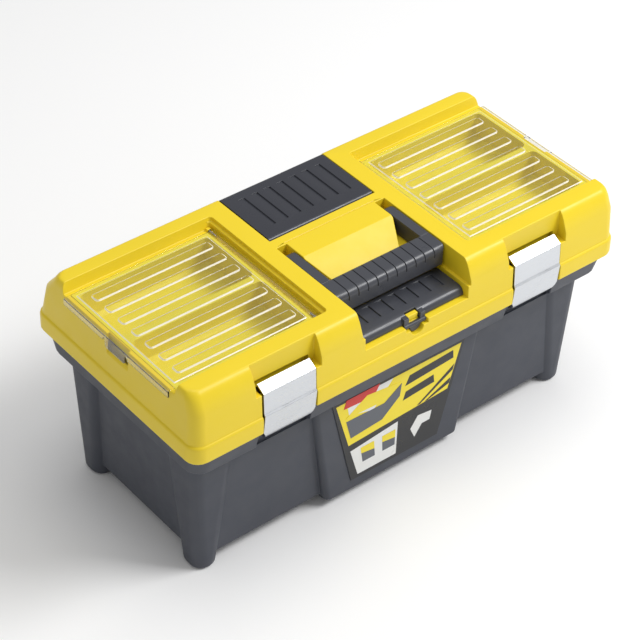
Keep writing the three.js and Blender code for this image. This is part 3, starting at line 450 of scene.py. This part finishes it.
# Painted highlight: faces this near a moulded edge get the cream sheet.
PAINTED_HIGHLIGHT_HALF = 0.42             # how far from a moulded edge the sheet looks bright
BARREL = {"x": 93.0, "z": 236.6, "bore": 1.3, "radius": 2.3, "chamfer": 0.25, "steps": 28}


def smooth(value):
    value = min(1.0, max(0.0, value))
    return value * value * (3 - 2 * value)


def ramp(distance):
    return smooth(distance / (RAMP[-1] - RAMP[0]) + 0.5)


def rim_drop(distance):
    return RIM_DROP * (1 - smooth(distance / RIM_ROUND[-1]))


def spaced(first, last, steps):
    return [first + (last - first) * i / steps for i in range(steps + 1)]


def shell_mesh(columns, rows, outer, inner):
    """A closed sheet between two surfaces given at columns by rows, with a strip round its rim."""
    bm = bmesh.new()
    faces = [[[bm.verts.new(at(u, v)) for v in rows] for u in columns] for at in (outer, inner)]
    top, under = faces
    for i in range(len(columns) - 1):
        for j in range(len(rows) - 1):
            for grid in faces:
                bm.faces.new((grid[i][j], grid[i + 1][j], grid[i + 1][j + 1], grid[i][j + 1]))
    rim = [(i, 0) for i in range(len(columns))]
    rim += [(len(columns) - 1, j) for j in range(1, len(rows))]
    rim += [(i, len(rows) - 1) for i in range(len(columns) - 2, -1, -1)]
    rim += [(0, j) for j in range(len(rows) - 2, 0, -1)]
    for (i, j), (k, m) in zip(rim, rim[1:] + rim[:1]):
        bm.faces.new((top[i][j], top[k][m], under[k][m], under[i][j]))
    return bm


def revolved(bm, profile, centre, steps):
    """Adds a ring turned about an axis along y: profile is a closed loop of (radius, y)."""
    rings = []
    for k in range(steps):
        angle = 2 * math.pi * k / steps
        rings.append([bm.verts.new((centre[0] + r * math.cos(angle), y, centre[1] + r * math.sin(angle)))
                      for r, y in profile])
    for a, b in zip(rings, rings[1:] + rings[:1]):
        for j in range(len(profile)):
            k = (j + 1) % len(profile)
            bm.faces.new((a[j], b[j], b[k], a[k]))


def finished(bm, name):
    bmesh.ops.recalc_face_normals(bm, faces=bm.faces)
    for face in bm.faces:
        face.smooth = True
    mesh = bpy.data.meshes.new(name)
    bm.to_mesh(mesh)
    bm.free()
    return mesh


class ClearLid:
    """The shape of one clear lid, in millimetres. x is the distance from the middle of the box."""

    def __init__(self, node, sign):
        low, high = (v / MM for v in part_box(node))
        self.sign = sign
        self.outer_x = max(abs(low.x), abs(high.x))
        self.inner_x = min(abs(low.x), abs(high.x)) + HINGE_REACH
        self.y0, self.y1, self.tab_z = low.y, high.y, low.z
        middle = (low.y + high.y) / 2
        self.ribs = [middle + (k - (RIB["count"] - 1) / 2) * RIB["pitch"] for k in range(RIB["count"])]
        self.rib_start = self.inner_x + RIB["inset"]
        self.rib_middle = (self.rib_start + RIB["end"]) / 2

    def across_rib(self, y):
        return min(abs(y - centre) for centre in self.ribs)

    def rib_end(self, y):
        """How far the rounded end of a rib draws back at y."""
        corner = RIB["corner"]
        t = min(max(0.0, self.across_rib(y) - RIB["half"] + corner), corner * 0.97)
        return corner - math.sqrt(corner * corner - t * t)

    def inside_panel(self, x, y):
        inset = PANEL["inset"]
        return min(x - self.inner_x - inset, PANEL["outer"] - x, y - self.y0 - inset, self.y1 - inset - y)

    def edge_distance(self, x, y):
        """How far a place on the sheet is from the nearest moulded edge."""
        corner = RIB["corner"]
        along = abs(x - self.rib_middle) - (RIB["end"] - self.rib_start) / 2 + corner
        across = self.across_rib(y) - RIB["half"] + corner
        rib = math.hypot(max(along, 0), max(across, 0)) + min(max(along, across), 0) - corner
        return min(abs(rib), abs(self.inside_panel(x, y)))

    def drop(self, y):
        """How far the lip hangs below the bend at y: further at the tab, less beside it."""
        inside = min(y - TAB["y"][0], TAB["y"][1] - y)
        if inside < 0:
            beside = smooth((-inside - TAB["notch"]) / TAB["slope"])
            return (CLEAR_TOP - BEND - LIP_Z) * (TAB["least"] + (1 - TAB["least"]) * beside)
        corner = TAB["corner"]
        t = corner - min(inside, corner)
        return CLEAR_TOP - BEND - self.tab_z - corner + math.sqrt(corner ** 2 - t * t)

    def height(self, kind, offset, x, y):
        """The level of the sheet's upper side. On a rib's end, offset is measured from the end."""
        foot = RIB["foot"]
        along = offset if kind == "end" else min(x - self.rib_start - foot, RIB["end"] - foot - x)
        rib = min(RIB["half"] - self.across_rib(y), along)
        return CLEAR_TOP + PANEL["rise"] * ramp(self.inside_panel(x, y)) + RIB["rise"] * ramp(rib)

    def surface(self, depth):
        """A function that places the grid's points, depth below the outer side."""
        way = 1 if depth == 0 else -1

        def at(column, y):
            kind, value, offset = column
            edge = rim_drop(min(y - self.y0, self.y1 - y)) * way
            if kind == "bend":
                turn = math.radians(value)
                x = self.outer_x - BEND + (BEND - depth) * math.sin(turn)
                z = CLEAR_TOP - BEND + (BEND - depth) * math.cos(turn) - edge * math.cos(turn)
            elif kind == "lip":
                x = self.outer_x - depth
                z = CLEAR_TOP - BEND - value * self.drop(y)
            else:
                x = value
                if kind == "end":
                    x += self.rib_end(y) * (1 if value < self.rib_middle else -1)
                edge += rim_drop(x - self.inner_x) * way
                z = self.height(kind, offset, x, y) - depth - edge
            return self.sign * x * MM, y * MM, z * MM
        return at

    def columns(self):
        """The grid's lines along y, from the hinge outwards, as (kind, place, offset)."""
        inner, start, end = self.inner_x, self.rib_start, RIB["end"]
        columns = [("flat", inner + d, 0) for d in RIM_ROUND]
        columns += [("flat", inner + PANEL["inset"] + d, 0) for d in RAMP]
        columns += [("end", start + d, d) for d in RAMP]
        columns += [("flat", x, 0) for x in spaced(start + 1.5 * RIB["foot"], end - 1.5 * RIB["foot"], 12)]
        columns += [("end", end - d, d) for d in reversed(RAMP)]
        columns += [("flat", PANEL["outer"] - d, 0) for d in reversed(RAMP)]
        columns += [("bend", angle, 0) for angle in spaced(0, 90, 6)]
        return columns + [("lip", share, 0) for share in LIP_ROWS]

    def rows(self):
        """The grid's lines along x, as their y."""
        y0, y1, inset = self.y0, self.y1, PANEL["inset"]
        rows = {y0 + d for d in RIM_ROUND} | {y1 - d for d in RIM_ROUND}
        rows |= {y0 + inset + d for d in RAMP} | {y1 - inset - d for d in RAMP}
        for centre in self.ribs:
            offsets = [0.0] + [s * (RIB["half"] + d) for s in (-1, 1) for d in RAMP]
            offsets += [s * (RIB["half"] - d) for s in (-1, 1) for d in (3.0, 2.2, 1.5, 0.9)]
            rows |= {centre + d for d in offsets} | {centre + RIB["pitch"] / 2}
        for edge, way in zip(TAB["y"], (1, -1)):
            rows |= {edge + way * d for d in TAB_ROWS}
        rows = sorted(y for y in rows if y0 <= y <= y1)
        return [y for i, y in enumerate(rows) if i == 0 or y - rows[i - 1] > NEAREST_ROWS]

    def add_barrel(self, bm):
        bore, radius, chamfer = BARREL["bore"], BARREL["radius"], BARREL["chamfer"]
        y0, y1 = self.y0, self.y1
        loop = [(bore, y0), (radius - chamfer, y0), (radius, y0 + chamfer),
                (radius, y1 - chamfer), (radius - chamfer, y1), (bore, y1)]
        axis = (self.sign * BARREL["x"] * MM, BARREL["z"] * MM)
        revolved(bm, [(r * MM, y * MM) for r, y in loop], axis, BARREL["steps"])


def clear_lid(side, sign):
    node = "organizer_lid_" + side
    lid = ClearLid(node, sign)
    bm = shell_mesh(lid.columns(), lid.rows(), lid.surface(0), lid.surface(CLEAR_THICK))
    lid.add_barrel(bm)
    name = node + "_clear"
    piece = new_piece(name, node, finished(bm, name), [CLEAR, CLEAR_PAINTED_HIGHLIGHT])
    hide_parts(node)
    for face in piece.data.polygons:
        # Faces on top near a moulded edge get the painted highlight sheet.
        place = face.center / MM
        if place.z > CLEAR_TOP - 1 and lid.edge_distance(abs(place.x), place.y) < PAINTED_HIGHLIGHT_HALF:
            face.material_index = 1
    shaded(piece)


# ---- label ----

FILM, FILM_SUNK = 0.12, 0.05   # thickness of one printed layer, and how deep it starts
LABEL_HALF_LOW = 56.0
INKS = {
    "yellow": (0.90, 0.72, 0.02),
    "white": (0.80, 0.80, 0.78),
    "black": (0.012, 0.012, 0.014),
    "grey": (0.10, 0.11, 0.13),
    "red": (0.62, 0.015, 0.012),
}


def label_fields():
    """The printed fields as (ink, layer, outline), each outline in shares of the label's half
    width and of its height."""
    fields = [
        ("yellow", 1, [(-0.955, 0.97), (-0.90, 0.44), (0.0, 0.47), (0.93, 0.50), (0.955, 0.97)]),
        ("white", 2, [(-0.80, 0.97), (-0.10, 0.97), (-0.42, 0.72), (-0.80, 0.80)]),
        ("red", 3, [(-0.86, 0.90), (-0.80, 0.99), (-0.30, 0.99), (-0.40, 0.88)]),
        ("grey", 3, [(-0.86, 0.74), (-0.84, 0.52), (-0.28, 0.55),
                     (0.02, 0.72), (0.04, 0.86), (-0.24, 0.73)]),
        ("yellow", 4, [(-0.86, 0.78), (-0.24, 0.76), (0.03, 0.88), (-0.50, 0.93)]),
        ("white", 1, [(-0.89, 0.36), (-0.84, 0.04), (0.02, 0.04), (0.02, 0.42)]),
    ]
    for u in (-0.70, -0.28):
        v = u + 0.26
        fields.append(("grey", 2, [(u, 0.16), (v, 0.16), (v, 0.34), (u, 0.34)]))
        fields.append(("yellow", 3, [(u, 0.27), (v, 0.25), (v, 0.34), (u, 0.34)]))
    fields.append(("black", 2, [(0.10, 0.80), (0.88, 0.84), (0.84, 0.93), (0.16, 0.90)]))
    fields.append(("black", 2, [(0.08, 0.64), (0.62, 0.67), (0.58, 0.76), (0.12, 0.73)]))
    for shift in (0.0, 0.14, 0.26):
        fields.append(("black", 2, [(0.36 + shift, 0.49), (0.42 + shift, 0.49),
                                    (0.93, 0.70 - shift), (0.93, 0.76 - shift)]))
    fields.append(("white", 1, [(0.30, 0.24), (0.42, 0.12), (0.54, 0.24),
                                (0.70, 0.24), (0.70, 0.34), (0.42, 0.36)]))
    return fields


def add_field(bm, outline, layer, ink):
    """A thin closed slab with this outline, standing proud of the label."""
    low, high = (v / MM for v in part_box("label"))
    rings = []
    for proud in (-FILM_SUNK, FILM * layer):
        ring = []
        for u, v in outline:
            half = LABEL_HALF_LOW + (high.x - LABEL_HALF_LOW) * v
            ring.append(bm.verts.new((u * half * MM, (low.y - proud) * MM,
                                      (low.z + v * (high.z - low.z)) * MM)))
        rings.append(ring)
    made = [bm.faces.new(ring) for ring in rings]
    for i in range(len(outline)):
        k = (i + 1) % len(outline)
        made.append(bm.faces.new((rings[0][i], rings[0][k], rings[1][k], rings[1][i])))
    for face in made:
        face.material_index = ink


def label_print():
    """The label's printing: flat fields of colour, with no lettering."""
    bm = bmesh.new()
    for ink, layer, outline in label_fields():
        add_field(bm, outline, layer, list(INKS).index(ink))
    mesh = finished(bm, "label_print")
    for face in mesh.polygons:
        face.use_smooth = False
    inks = [printed(ink + "_ink", colour) for ink, colour in INKS.items()]
    new_piece("label_print", "label", mesh, inks)


# ---- assembly ----

make_camera()
make_light()
make_floor()
# node, material, width of the rounding in metres, its steps
skin("lid_shell", YELLOW, 0.0007, 3, LID_SHARP)
skin("body_tub", DARK_TUB, 0.0010, 3)
skin("back_cover", DARK_SATIN, 0.0004, 2)
skin("front_cover", DARK_SATIN_PAINTED_LIGHTER, 0.0004, 2)
skin("handle", DARK_SATIN_PAINTED_LIGHTER, 0.0003, 2)
skin("tray", TRAY_GREY, 0.0005, 2)
skin("label", printed("label_backing", INKS["black"]), 0.0001, 1)
label_print()
for pin in ("back_cover_pin", "front_cover_pin"):
    skin(pin, STEEL, 0.0002, 2)
for side, sign in SIDES:
    skin("latch_plate_" + side, ALUMINIUM, 0.0003, 2)
    skin("latch_carrier_" + side, LATCH_GREY, 0.0004, 2)
    skin("latch_bracket_" + side, LATCH_GREY, 0.0003, 2)
    skin("organizer_bin_" + side, BIN_YELLOW, 0.0004, 2)
    clear_lid(side, sign)
    skin("tray_divider_" + side, TRAY_GREY, 0.0003, 2)
    for place in ("front", "back"):
        skin(f"organizer_pin_{side}_{place}", STEEL, 0.0002, 2)
    for pin in ("hinge_pin_", "handle_pin_", "latch_pin_"):
        skin(pin + side, STEEL, 0.0003, 2)
